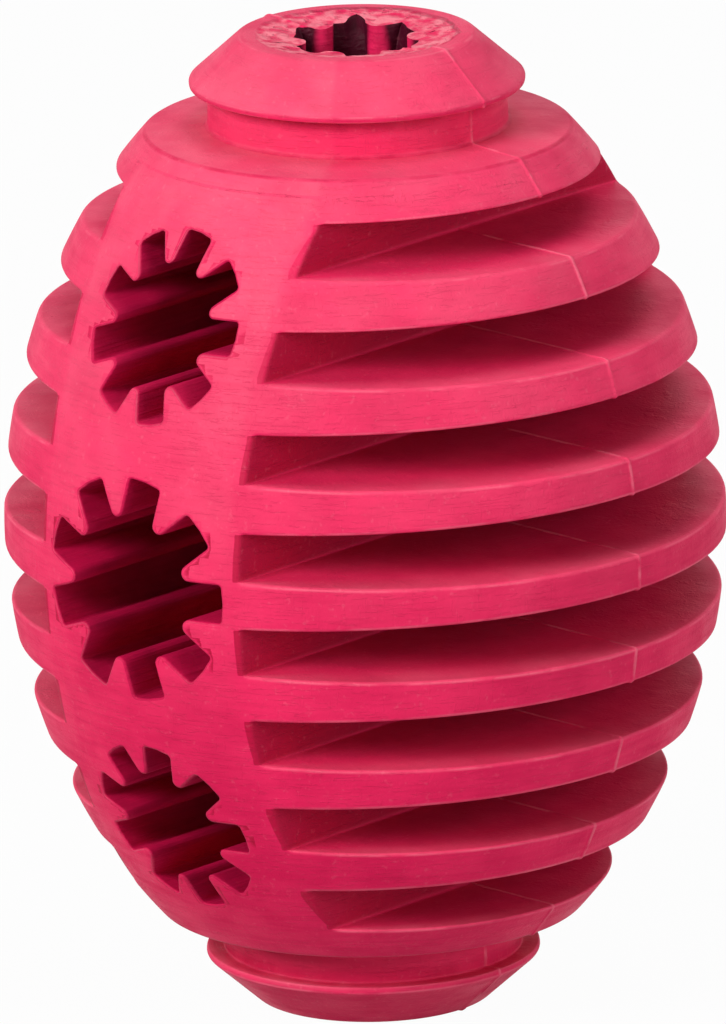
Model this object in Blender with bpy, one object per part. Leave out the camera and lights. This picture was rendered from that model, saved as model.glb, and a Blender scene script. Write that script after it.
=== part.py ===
"""Rubber chew toy for a dog: a ribbed, rugby-ball-shaped body that stands on end.

Two moulded halves meet at the seam plane y = 0, which the flash line on the ribbed flanks marks.
A smooth band front and back carries three toothed holes, and ribs for the teeth run round both flanks.
Metres, +Z up, origin at the middle of the bottom face.
"""

import math

import bmesh
import bpy

# Overall sizes
BODY_DIAMETER = 0.080
OVERALL_HEIGHT = 0.110

# The collar at each end: a flat end face, a flare, a thin rim and the neck under it. The shoulder
# falls a little from the neck's foot to the body's outline.
NECK_RADIUS = 0.0166
NECK_HEIGHT = 0.00455
SHOULDER_FALL = 0.0005
COLLAR_HEIGHT = 0.0056
RIM_OVERHANG = 0.0020
RIM_THICKNESS = 0.0008
FLARE_WIDTH = 0.0056

# Outline of the body: a superellipse about the mid-plane, cut off at each shoulder.
# Its tips would lie this far past the end faces.
CURVE_OVERRUN = 0.0015
CURVE_POWER = 1.89

# The toothed holes through the band. The middle hole is the largest, and the small hole above and
# below it sits half way between the middle hole and the shoulder.
HOLE_TEETH = 9
HOLE_TURN = math.radians(10)
MIDDLE_HOLE_RADIUS = 0.01245
MIDDLE_SLOT_WIDTH = 0.0043
MIDDLE_TIP_ROUND = 0.00094
SMALL_HOLE_RADIUS = 0.0100
SMALL_SLOT_WIDTH = 0.00345
SMALL_TIP_ROUND = 0.00076

# The toothed hole along the axis
END_TEETH = 6
END_TURN = math.radians(18)
END_HOLE_RADIUS = 0.0070
END_SLOT_WIDTH = 0.0036
END_TIP_ROUND = 0.0020

# Shortest straight wall that a tip's rounding leaves in a slot
LEAST_SLOT_WALL = 0.0001

# The grooves between the ribs run straight through from front to back, down to a flat wall beside
# the holes, and widen outward by the draft of the mould. The band's edge is the rubber left
# between the middle hole and those walls.
GROOVE_PITCH = 0.0107
GROOVE_HEIGHT = 0.00525
GROOVE_DRAFT = math.radians(1.7)
BAND_EDGE = 0.00195
LEAST_END_RIB = 0.0038

# Facets of the round shapes
STEPS_PER_HALF_TURN = 32
OUTLINE_STEPS = 24
TIP_STEPS = 4
SMOOTH_ANGLE = math.radians(30)

# How far a cutter runs past the surface that it cuts
CUTTER_MARGIN = 0.004

# Points of the turned outline closer than this are one point, on the axis or on the seam plane
SAME_POINT = 1e-7

RUBBER_COLOUR = (0.80, 0.075, 0.135, 1.0)
RUBBER_ROUGHNESS = 0.55

# Sizes that follow from those above
BODY_RADIUS = BODY_DIAMETER / 2
HALF_HEIGHT = OVERALL_HEIGHT / 2
COLLAR_FOOT = HALF_HEIGHT - COLLAR_HEIGHT
SHOULDER_LEVEL = COLLAR_FOOT - NECK_HEIGHT - SHOULDER_FALL
CURVE_HALF_LENGTH = HALF_HEIGHT + CURVE_OVERRUN
RIM_RADIUS = NECK_RADIUS + RIM_OVERHANG
END_FACE_RADIUS = RIM_RADIUS - FLARE_WIDTH
BAND_HALF_WIDTH = MIDDLE_HOLE_RADIUS + BAND_EDGE
SMALL_HOLE_LEVEL = (MIDDLE_HOLE_RADIUS + SHOULDER_LEVEL) / 2
GROOVE_SPAN = 2 * (SHOULDER_LEVEL - LEAST_END_RIB - GROOVE_HEIGHT / 2)
GROOVES_PER_FLANK = 1 + int(GROOVE_SPAN / GROOVE_PITCH)


def body_radius(level, radius=BODY_RADIUS):
    """Radius of the outline at a height above or below the mid-plane."""
    share = 1 - abs(level / CURVE_HALF_LENGTH) ** CURVE_POWER
    return radius * share ** (1 / CURVE_POWER)


def turned_outline():
    """Outline of the whole body as (radius, level), from the top of the axis to its foot."""
    collar = [
        (0.0, HALF_HEIGHT),
        (END_FACE_RADIUS, HALF_HEIGHT),
        (RIM_RADIUS, COLLAR_FOOT + RIM_THICKNESS),
        (RIM_RADIUS, COLLAR_FOOT),
        (NECK_RADIUS, COLLAR_FOOT),
        (NECK_RADIUS, SHOULDER_LEVEL + SHOULDER_FALL),
    ]
    levels = [SHOULDER_LEVEL * (1 - 2 * i / OUTLINE_STEPS) for i in range(OUTLINE_STEPS + 1)]
    flank = [(body_radius(level), level) for level in levels]
    lower_collar = [(radius, -level) for radius, level in reversed(collar)]
    return collar + flank + lower_collar


def half_body_mesh(name, side):
    """One half of the turned body, closed by the flat seam face. Side is -1 in front, 1 behind."""
    mesh = bpy.data.meshes.new(name)
    bm = bmesh.new()
    verts = [bm.verts.new((-side * radius, 0.0, level)) for radius, level in turned_outline()]
    edges = [bm.edges.new(pair) for pair in zip(verts, verts[1:])]
    bmesh.ops.spin(
        bm,
        geom=verts + edges,
        cent=(0, 0, 0),
        axis=(0, 0, 1),
        angle=-math.pi,
        steps=STEPS_PER_HALF_TURN,
        use_duplicate=False,
    )
    bmesh.ops.remove_doubles(bm, verts=bm.verts, dist=SAME_POINT)
    for vert in bm.verts:
        if abs(vert.co.y) < SAME_POINT:
            vert.co.y = 0.0
    rim = [edge for edge in bm.edges if edge.is_boundary]
    bmesh.ops.contextual_create(bm, geom=rim)
    bmesh.ops.recalc_face_normals(bm, faces=bm.faces)
    bm.to_mesh(mesh)
    bm.free()
    return mesh


def add_prism(bm, near_points, far_points):
    """Closed prism between two rings with the same number of points."""
    near = [bm.verts.new(point) for point in near_points]
    far = [bm.verts.new(point) for point in far_points]
    bm.faces.new(near)
    bm.faces.new(list(reversed(far)))
    count = len(near)
    for i in range(count):
        j = (i + 1) % count
        bm.faces.new((near[j], near[i], far[i], far[j]))


def cutter_object(name, bm):
    """Turn a bmesh into a hidden cutter."""
    bmesh.ops.recalc_face_normals(bm, faces=bm.faces)
    mesh = bpy.data.meshes.new(name)
    bm.to_mesh(mesh)
    bm.free()
    cutter = bpy.data.objects.new(name, mesh)
    bpy.context.collection.objects.link(cutter)
    cutter.location.z = HALF_HEIGHT
    cutter.hide_render = True
    cutter.display_type = "WIRE"
    return cutter


def groove_cutter():
    """All grooves of both flanks, evenly pitched about the mid-plane."""
    bm = bmesh.new()
    reach = BODY_RADIUS + CUTTER_MARGIN
    inner_gap = GROOVE_HEIGHT / 2
    outer_gap = inner_gap + math.tan(GROOVE_DRAFT) * (reach - BAND_HALF_WIDTH)
    for i in range(GROOVES_PER_FLANK):
        level = (i - (GROOVES_PER_FLANK - 1) / 2) * GROOVE_PITCH
        profile = [
            (BAND_HALF_WIDTH, level - inner_gap),
            (reach, level - outer_gap),
            (reach, level + outer_gap),
            (BAND_HALF_WIDTH, level + inner_gap),
        ]
        for side in (-1, 1):
            front = [(side * x, -reach, z) for x, z in profile]
            rear = [(side * x, reach, z) for x, z in profile]
            add_prism(bm, front, rear)
    return cutter_object("groove_cutter", bm)


def toothed_outline(hole_radius, slot_width, tip_round, teeth, turn):
    """Outline of a toothed hole: parallel-sided slots, with round-tipped teeth between them."""
    pitch = 2 * math.pi / teeth
    half_width = slot_width / 2
    half_slot = math.asin(half_width / hole_radius)
    slot_length = hole_radius * math.cos(half_slot) - LEAST_SLOT_WALL
    rounding = min(tip_round, slot_length * math.tan(pitch / 2) - half_width)
    tip_centre = (half_width + rounding) / math.sin(pitch / 2)
    sweep = (math.pi - pitch) / 2
    outline = []
    for i in range(teeth):
        slot = turn + i * pitch
        for angle in (slot - half_slot, slot, slot + half_slot):
            outline.append((hole_radius * math.cos(angle), hole_radius * math.sin(angle)))
        tooth = slot + pitch / 2
        for step in range(TIP_STEPS + 1):
            angle = tooth + math.pi + sweep * (1 - 2 * step / TIP_STEPS)
            x = tip_centre * math.cos(tooth) + rounding * math.cos(angle)
            y = tip_centre * math.sin(tooth) + rounding * math.sin(angle)
            outline.append((x, y))
    return outline


def side_hole_cutter():
    """The three toothed holes through the band, front to back."""
    bm = bmesh.new()
    reach = BODY_RADIUS + CUTTER_MARGIN
    small = (SMALL_HOLE_RADIUS, SMALL_SLOT_WIDTH, SMALL_TIP_ROUND)
    middle = (MIDDLE_HOLE_RADIUS, MIDDLE_SLOT_WIDTH, MIDDLE_TIP_ROUND)
    for level, sizes in ((SMALL_HOLE_LEVEL, small), (0.0, middle), (-SMALL_HOLE_LEVEL, small)):
        outline = toothed_outline(*sizes, HOLE_TEETH, math.pi / 2 - HOLE_TURN)
        front = [(x, -reach, level + height) for x, height in outline]
        rear = [(x, reach, level + height) for x, height in outline]
        add_prism(bm, front, rear)
    return cutter_object("side_hole_cutter", bm)


def end_hole_cutter():
    """The toothed hole along the axis, from end to end."""
    bm = bmesh.new()
    reach = HALF_HEIGHT + CUTTER_MARGIN
    outline = toothed_outline(END_HOLE_RADIUS, END_SLOT_WIDTH, END_TIP_ROUND, END_TEETH, END_TURN)
    add_prism(bm, [(x, y, -reach) for x, y in outline], [(x, y, reach) for x, y in outline])
    return cutter_object("end_hole_cutter", bm)


def rubber_material(name):
    """Matt strawberry-red natural rubber."""
    material = bpy.data.materials.new(name)
    material.use_nodes = True
    shader = material.node_tree.nodes["Principled BSDF"]
    shader.inputs["Base Color"].default_value = RUBBER_COLOUR
    shader.inputs["Roughness"].default_value = RUBBER_ROUGHNESS
    shader.inputs["Metallic"].default_value = 0.0
    return material


def moulded_half(name, side, cutters):
    """One half of the toy, cut by the grooves and the toothed holes."""
    mesh = half_body_mesh(name, side)
    mesh.materials.append(rubber_material(name + "_rubber"))
    mesh.shade_smooth()
    mesh.set_sharp_from_angle(angle=SMOOTH_ANGLE)
    half = bpy.data.objects.new(name, mesh)
    bpy.context.collection.objects.link(half)
    half.location.z = HALF_HEIGHT
    for cutter in cutters:
        cut = half.modifiers.new(cutter.name, "BOOLEAN")
        cut.operation = "DIFFERENCE"
        cut.solver = "EXACT"
        cut.object = cutter
    return half


def main():
    for old in list(bpy.data.objects):
        bpy.data.objects.remove(old, do_unlink=True)
    cutters = (groove_cutter(), side_hole_cutter(), end_hole_cutter())
    moulded_half("front_half", -1, cutters)
    moulded_half("rear_half", 1, cutters)


main()
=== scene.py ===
"""Looks of a ribbed rubber chew toy for a dog: its rubber, stage and camera, over the fixed frame.

The body is a sheet of points that carries each point's turn round the axis and its place on the
groove's cross-section. A geometry tree repeats the sheet up the toy and bends it round, the toothed
holes are then cut through it, and the materials read the result. Metres, +Z up.
"""

import math

import bmesh
import bpy
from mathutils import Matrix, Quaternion, Vector, noise


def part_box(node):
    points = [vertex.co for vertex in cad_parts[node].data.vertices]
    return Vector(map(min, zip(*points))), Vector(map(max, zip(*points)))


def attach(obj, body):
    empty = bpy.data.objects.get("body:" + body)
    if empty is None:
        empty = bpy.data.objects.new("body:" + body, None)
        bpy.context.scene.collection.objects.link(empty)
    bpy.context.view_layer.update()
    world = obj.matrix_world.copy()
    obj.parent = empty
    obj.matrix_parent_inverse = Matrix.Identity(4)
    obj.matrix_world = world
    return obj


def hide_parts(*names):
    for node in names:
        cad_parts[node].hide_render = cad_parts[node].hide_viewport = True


bl_info = {
    "name": "Rubber chew toy",
    "version": (1, 0, 0),
    "blender": (4, 5, 0),
    "location": "View3D > Sidebar > Chew Toy",
    "description": "Builds the fine surface of a ribbed rubber chew toy, with its stage",
    "category": "Object",
}

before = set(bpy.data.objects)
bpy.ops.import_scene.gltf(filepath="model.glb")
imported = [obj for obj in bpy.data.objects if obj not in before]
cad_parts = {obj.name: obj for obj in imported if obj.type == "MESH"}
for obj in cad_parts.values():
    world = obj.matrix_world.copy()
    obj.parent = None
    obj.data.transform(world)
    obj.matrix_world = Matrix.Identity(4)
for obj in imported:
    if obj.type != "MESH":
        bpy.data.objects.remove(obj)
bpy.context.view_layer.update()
HALF_LOW, HALF_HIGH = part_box("front_half")
MIDDLE_LEVEL = (HALF_LOW.z + HALF_HIGH.z) / 2

# The photograph's frame in pixels, and the camera's place round and above the toy
IMAGE_WIDTH = 726
IMAGE_HEIGHT = 1024
CAMERA_TURN = math.radians(41.6)
CAMERA_RISE = math.radians(15.4)


# What a user would change


def length_setting(name, description, default):
    return bpy.props.FloatProperty(
        name=name, description=description, default=default, unit="LENGTH")


def angle_setting(name, description, degrees):
    return bpy.props.FloatProperty(
        name=name, description=description, default=math.radians(degrees), subtype="ANGLE")


def hole_setting(name, *shape):
    return bpy.props.FloatVectorProperty(
        name=name, description="Radius, slot width and tip rounding", default=shape, size=3,
        unit="LENGTH")


def colour_setting(name, description, *default):
    return bpy.props.FloatVectorProperty(
        name=name, description=description, default=default, size=3, min=0, max=1,
        subtype="COLOR")


class ToySizes(bpy.types.PropertyGroup):
    """Sizes of the rubber body."""

    body_diameter: length_setting(
        "Body diameter", "Across the middle rib", HALF_HIGH.x - HALF_LOW.x)
    height: length_setting("Height", "From end face to end face", HALF_HIGH.z - HALF_LOW.z)
    curve_overrun: length_setting(
        "Curve overrun", "How far the outline's tips would pass the end faces", 0.0015)
    curve_power: bpy.props.FloatProperty(
        name="Curve power", description="Power of the superellipse", default=1.89)
    neck_radius: length_setting("Neck radius", "Radius of the neck", 0.0166)
    neck_height: length_setting("Neck height", "From its foot to the collar", 0.00455)
    shoulder_fall: length_setting(
        "Shoulder fall", "From the neck's foot down to the shoulder's rim", 0.0005)
    collar_height: length_setting(
        "Collar height", "From the rim's foot to the end face", 0.0056)
    rim_radius: length_setting("Rim radius", "Radius of the collar's rim", 0.0186)
    rim_thickness: length_setting("Rim thickness", "Straight part of the rim", 0.0006)
    end_face_radius: length_setting("End face radius", "Radius of the flat end", 0.0130)
    grooves: bpy.props.IntProperty(
        name="Grooves", description="Grooves up each flank", default=8, min=1)
    groove_pitch: length_setting("Groove pitch", "From groove to groove", 0.0107)
    groove_height: length_setting("Groove height", "At the groove's inner wall", 0.00525)
    groove_draft: angle_setting(
        "Groove draft", "Slope of a groove's upper and lower wall", 1.7)
    band_half_width: length_setting(
        "Band half width", "From the middle of the smooth band to the grooves", 0.0144)
    edge_round: length_setting(
        "Rib edge rounding", "Rounding of the ribs' outer edges", 0.00048)
    floor_round: length_setting(
        "Inner wall rounding", "Rounding where a rib meets the inner wall", 0.0005)
    flash_height: length_setting(
        "Flash height", "How far the seam's flash stands up", 0.00019)
    flash_width: length_setting(
        "Flash width", "Width of the seam's flash on each side", 0.00032)
    torn_radius: length_setting(
        "Torn radius", "Radius inside which the end face is torn", 0.0113)
    torn_dip: length_setting("Torn dip", "How far the torn face dips at its hole", 0.0006)
    hole_teeth: bpy.props.IntProperty(
        name="Teeth", description="Teeth of each hole through the band", default=9, min=3)
    hole_turn: angle_setting("Hole turn", "Turn of the first slot from upright", 10)
    middle_hole: hole_setting("Middle hole", 0.01245, 0.0043, 0.00094)
    small_hole: hole_setting("Upper and lower hole", 0.0100, 0.00345, 0.00076)
    small_hole_level: length_setting(
        "Hole spacing", "From the middle hole to the upper and lower one", 0.0284)
    end_hole: hole_setting("End hole", 0.0070, 0.0036, 0.0020)
    end_teeth: bpy.props.IntProperty(
        name="End teeth", description="Teeth of the hole along the axis", default=6, min=3)
    end_turn: angle_setting("End hole turn", "Turn of its first slot", 18)
    mouth_round: length_setting("Hole edge rounding", "Rounding of the holes' edges", 0.00034)


class ToyColours(bpy.types.PropertyGroup):
    """Colours of the rubber and of the stage."""

    rubber: colour_setting("Rubber", "The moulded rubber", 0.740, 0.014, 0.094)
    deep: colour_setting("Deep rubber", "Darker patches of the rubber", 0.600, 0.006, 0.070)
    # Painted sheen: this pale tint, painted on upward faces and more on the band, stands in for the
    # lamps' soft highlight; it also lightens worn rims (partly painted highlight), the seam's flash
    # and fine specks
    sheen: colour_setting("Sheen", "Pale bloom on worn and upward faces", 0.800, 0.160, 0.235)
    # Painted shade: this darker colour, painted deep in the grooves and under the ribs, stands in
    # for the shade there; it also colours the painted shade lines round the neck
    groove: colour_setting("Groove rubber", "The rubber deep in the grooves", 0.420, 0.002, 0.038)
    # Painted shade: the holes' walls are painted darker than the outside to stand in for the shade
    # inside them
    bore_shade: colour_setting("Bored rubber", "The walls of the holes", 0.230, 0.002, 0.026)
    # Painted shade: near-black painted into the end hole's slots and into patches of the holes'
    # walls, standing in for the shade deep in them
    slot_shade: colour_setting("Shade", "What darkens the holes' slots", 0.040, 0.0004, 0.008)
    torn: colour_setting("Torn rubber", "The torn faces at both ends", 0.820, 0.190, 0.250)
    floor: colour_setting("Floor", "The pale floor", 0.42, 0.42, 0.42)


# Node trees written as sums


class Wire:
    """A number on a wire of a node tree, so that a rule reads as ordinary arithmetic."""

    def __init__(self, tree, socket):
        self.tree = tree
        self.socket = socket

    def math(self, operation, *others):
        node = self.tree.nodes.new("ShaderNodeMath")
        node.operation = operation
        for slot, value in zip(node.inputs, (self,) + others):
            feed(self.tree, slot, value)
        return Wire(self.tree, node.outputs[0])

    def __add__(self, other):
        return self.math("ADD", other)

    def __radd__(self, other):
        return self.math("ADD", other)

    def __sub__(self, other):
        return self.math("SUBTRACT", other)

    def __rsub__(self, other):
        return (self * -1.0) + other

    def __mul__(self, other):
        return self.math("MULTIPLY", other)

    def __truediv__(self, other):
        return self.math("DIVIDE", other)

    def __rtruediv__(self, other):
        return self.math("POWER", -1.0) * other

    def __pow__(self, other):
        return self.math("POWER", other)

    def mix(self, other, share):
        return self + (other - self) * share


def feed(tree, slot, value):
    """Put a wire or a plain value into a socket."""
    if isinstance(value, Wire):
        tree.links.new(value.socket, slot)
    elif isinstance(value, bpy.types.NodeSocket):
        tree.links.new(value, slot)
    elif value is not None:
        slot.default_value = value


def node_of(tree, kind, settings=None, **inputs):
    """Add a node, set its own settings, and feed its inputs by name."""
    node = tree.nodes.new(kind)
    for name, value in (settings or {}).items():
        setattr(node, name, value)
    for name, value in inputs.items():
        feed(tree, node.inputs[name.replace("_", " ")], value)
    return node


def attribute(tree, name, kind="FLOAT"):
    """A named number that the sheet's points carry."""
    node = tree.nodes.new("GeometryNodeInputNamedAttribute")
    node.data_type = kind
    node.inputs["Name"].default_value = name
    return Wire(tree, node.outputs["Attribute"])


def split(tree, wire):
    """The three parts of a vector."""
    node = tree.nodes.new("ShaderNodeSeparateXYZ")
    feed(tree, node.inputs[0], wire)
    return [Wire(tree, output) for output in node.outputs]


# The sheet of points that the tree bends round

# Columns from the seam to the middle of the band, as (share reached, steps). A share up to 1 runs
# over the grooves to their end wall, and 1 to 2 over the band.
COLUMN_RUNS = ((0.0035, 1), (0.007, 1), (0.0105, 1), (0.016, 1), (0.8, 22), (0.94, 18), (1.0, 16),
               (1.12, 4), (2.0, 11))
EDGE_STEPS = 6
RIB_STEPS = 3
WALL_STEPS = 4
FLOOR_ROUND_STEPS = 4
FLOOR_STEPS = 3

# The torn face's ring of slope, the step of its rows and how far they go past the hole's edge
TORN_EDGE = 0.0004
TORN_STEP = 0.0004
TORN_REACH = 0.003

# Share of the turn over which a rib's wear and painted highlight fade out towards the band
WEAR_AND_HIGHLIGHT_FADE = 0.05

# How far apart the flat sheet's points lie before the tree moves them
FLAT_STEP = 0.001

# Steps of a rounded corner, of the flank between the last rib and the shoulder, and along the end
CORNER_STEPS = 4
FLANK_STEPS = 3
END_STEP = 0.0011

# Roundings of the shoulder's rim, the neck's foot, the neck's top, the collar's foot and rim, and
# the end face's edge, and how far the collar and the neck's top draw in
SHOULDER_ROUND = 0.0004
NECK_FOOT_ROUND = 0.0005
NECK_TOP_ROUND = 0.0003
COLLAR_FOOT_ROUND = 0.00022
RIM_ROUND = 0.0003
FACE_ROUND = 0.0005
DRAWN_IN = 0.0001


def column_shares():
    """Shares of the columns from the seam to the middle of the band."""
    shares = [0.0]
    for reached, steps in COLUMN_RUNS:
        start = shares[-1]
        shares += [start + (reached - start) * (i + 1) / steps for i in range(steps)]
    return shares


def columns():
    """(share, hand) of every column from one seam over the band to the other."""
    shares = column_shares()
    right = [(share, 1.0) for share in shares]
    left = [(share, -1.0) for share in reversed(shares[:-1])]
    return right + left


def groove_rows():
    """Rows from the middle of the groove's flat inner wall to the middle of the next rib.

    Each is (edge, inner, rounding) for its depth, (gap, lift, drop) for its level, and the share
    of the way to the rib's middle.
    """
    rows = []
    for i in range(FLOOR_STEPS + 1):
        v = i / FLOOR_STEPS
        rows.append(((0, 1, 0), (v, 0, v), 0.0))
    for i in range(1, FLOOR_ROUND_STEPS + 1):
        s = i / FLOOR_ROUND_STEPS
        rows.append(((0, 1, s * s), (1, 0, (1 - s) ** 2), 0.0))
    for i in range(1, WALL_STEPS):
        v = i / WALL_STEPS
        rows.append(((1, 1 - v, 1), (1, 0, 0), 0.0))
    for i in range(EDGE_STEPS + 1):
        s = i / EDGE_STEPS
        rows.append((((1 - s) ** 2, 0, 0), (1, s * s, 0), 0.0))
    for i in range(1, RIB_STEPS + 1):
        m = i / RIB_STEPS
        rows.append(((0, 0, 0), (1 - m, 1 - m, 0), m))
    return rows


def sheet_mesh(name, rows):
    """A flat sheet of rows by columns whose points carry what the tree needs.

    A row is a dictionary of its depth, lift, place (side, share of the way to the rib, share of
    the height) and turned (is turned, radius, level) values, and of how worn its edge is and how
    much it is lightened as a painted highlight.
    """
    cols = columns()
    width = len(cols)
    points = [(c * FLAT_STEP, r * FLAT_STEP, 0.0) for r in range(len(rows)) for c in range(width)]
    corners = [r * width + c for r in range(len(rows) - 1) for c in range(width - 1)]
    faces = [(a, a + width, a + width + 1, a + 1) for a in corners]
    mesh = bpy.data.meshes.new(name)
    mesh.from_pydata(points, [], faces)
    for key in ("depth", "lift", "place", "turned"):
        values = [v for row in rows for col in cols for v in row[key]]
        mesh.attributes.new(key, "FLOAT_VECTOR", "POINT").data.foreach_set("vector", values)
    for key, part in (("turn", 0), ("hand", 1)):
        values = [col[part] for row in rows for col in cols]
        mesh.attributes.new(key, "FLOAT", "POINT").data.foreach_set("value", values)
    values = [row["wear_and_highlight"] * (row["turned"][0] or min(max((1 - col[0]) / WEAR_AND_HIGHLIGHT_FADE, 0.0), 1.0))
              for row in rows for col in cols]
    mesh.attributes.new("wear_and_highlight", "FLOAT", "POINT").data.foreach_set("value", values)
    return mesh


def groove_sheet():
    """The sheet of one groove, from the rib's middle below it to the rib's middle above."""
    half = groove_rows()
    count = len(half) - 1
    rows = []
    for i in list(range(count, 0, -1)) + list(range(count + 1)):
        depth, lift, share = half[i]
        side = -1.0 if len(rows) < count else 1.0
        wear_and_highlight = 1 - abs(2 * lift[1] - 1) if 0 < depth[0] < 1 and depth[1] == 0 else 0.0
        rows.append({"depth": depth, "lift": lift, "place": (side, share, i / count),
                     "turned": (0, 0, 0), "wear_and_highlight": wear_and_highlight})
    return sheet_mesh("groove_sheet", rows)


def rounded(corners):
    """Outline through (radius, level, rounding, wear_and_highlight) corners, each rounded by a
    short curve.

    A point is (radius, level, wear_and_highlight), and wear_and_highlight fades to both ends of its
    corner: how worn the edge is and how much it is lightened as a painted highlight.
    """
    points = []
    for i, (radius, level, size, wear_and_highlight) in enumerate(corners):
        if size == 0:
            points.append((radius, level, 0.0))
            continue
        arms = []
        for other in (corners[i - 1], corners[i + 1]):
            dr, dz = other[0] - radius, other[1] - level
            length = math.hypot(dr, dz)
            arms.append((dr / length * size, dz / length * size))
        for k in range(CORNER_STEPS + 1):
            s = k / CORNER_STEPS
            back, ahead = (1 - s) ** 2, s * s
            points.append((radius + arms[0][0] * back + arms[1][0] * ahead,
                           level + arms[0][1] * back + arms[1][1] * ahead,
                           wear_and_highlight * (1 - abs(2 * s - 1))))
    return points


def filled(points, longest):
    """The same outline with every long stretch divided."""
    result = [points[0]]
    for near, far in zip(points, points[1:]):
        steps = max(1, math.ceil(math.hypot(far[0] - near[0], far[1] - near[1]) / longest))
        result += [tuple(a + (b - a) * k / steps for a, b in zip(near, far))
                   for k in range(1, steps + 1)]
    return result


def outline_radius(sizes, level):
    """Radius of the body at a level above the mid-plane."""
    half_length = sizes.height / 2 + sizes.curve_overrun
    share = max(1 - abs(level / half_length) ** sizes.curve_power, 0.0)
    return sizes.body_diameter / 2 * share ** (1 / sizes.curve_power)


def shoulder_level(sizes):
    return sizes.height / 2 - sizes.collar_height - sizes.neck_height - sizes.shoulder_fall


def end_sheet(sizes):
    """The sheet from the last rib over shoulder, neck and collar to the axis."""
    start = (sizes.grooves - 1) / 2 * sizes.groove_pitch + sizes.groove_pitch / 2
    top = shoulder_level(sizes)
    half = sizes.height / 2
    foot = half - sizes.collar_height
    levels = [start + (top - start) * i / FLANK_STEPS for i in range(FLANK_STEPS)]
    flank = [(outline_radius(sizes, level), level, 0, 0) for level in levels]
    collar = [
        (outline_radius(sizes, top), top, SHOULDER_ROUND, 0.4),
        (sizes.neck_radius, top + sizes.shoulder_fall, NECK_FOOT_ROUND, 0),
        (sizes.neck_radius - DRAWN_IN, foot, NECK_TOP_ROUND, 0),
        (sizes.rim_radius - DRAWN_IN, foot - DRAWN_IN, COLLAR_FOOT_ROUND, 1),
        (sizes.rim_radius, foot + sizes.rim_thickness, RIM_ROUND, 1),
        (sizes.end_face_radius, half, FACE_ROUND, 1),
        (sizes.torn_radius + TORN_EDGE, half, 0, 0),
    ]
    torn = [(sizes.torn_radius + TORN_EDGE, half, 0.0),
            (sizes.end_hole[0] - TORN_REACH, half, 0.0)]
    outline = (filled(rounded(flank + collar), END_STEP) + filled(torn, TORN_STEP)[1:]
               + [(0.0, half, 0.0)])
    rows = [{"depth": (0, 0, 0), "lift": (0, 0, 0), "place": (1.0, 1.0, 1.0),
             "turned": (1.0, radius, level), "wear_and_highlight": wear_and_highlight} for radius, level, wear_and_highlight in outline]
    return sheet_mesh("end_sheet", rows)


# The tree that bends the sheets round


# Rounding where a groove runs out of the surface, and how far inside its inner wall the band starts
END_WALL_ROUND = 0.0009
BAND_START = 0.0005

# The torn face: its roughness, how many bumps to the metre, and its tilt towards the camera
TORN_ROUGHNESS = 0.00032
TORN_SCALE = 430.0
TORN_TILT = 0.4

# The flash: how many waves to the metre, and how much it stands up more on the edges that
# wear_and_highlight marks
FLASH_SCALE = 380.0
FLASH_NUB = 0.3

# Points closer than this are one point, in the sheets and on the seam plane
WELD_DISTANCE = 0.000002
SEAM_DISTANCE = 1e-7


def tree_values(sizes, facing):
    """The tree's numbers by input. Facing is 1 for the front half and -1 for the rear half."""
    return {
        "Body radius": sizes.body_diameter / 2,
        "Curve half length": sizes.height / 2 + sizes.curve_overrun,
        "Curve power": sizes.curve_power,
        "Band half width": sizes.band_half_width,
        "Groove pitch": sizes.groove_pitch,
        "Groove height": sizes.groove_height,
        "Draft slope": math.tan(sizes.groove_draft),
        "Edge rounding": sizes.edge_round,
        "Floor rounding": sizes.floor_round,
        "Flash height": sizes.flash_height,
        "Flash width": sizes.flash_width,
        "Torn radius": sizes.torn_radius,
        "Torn dip": sizes.torn_dip,
        "Hole radius": sizes.end_hole[0],
        "Middle level": MIDDLE_LEVEL,
        "Facing": facing,
    }


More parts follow.
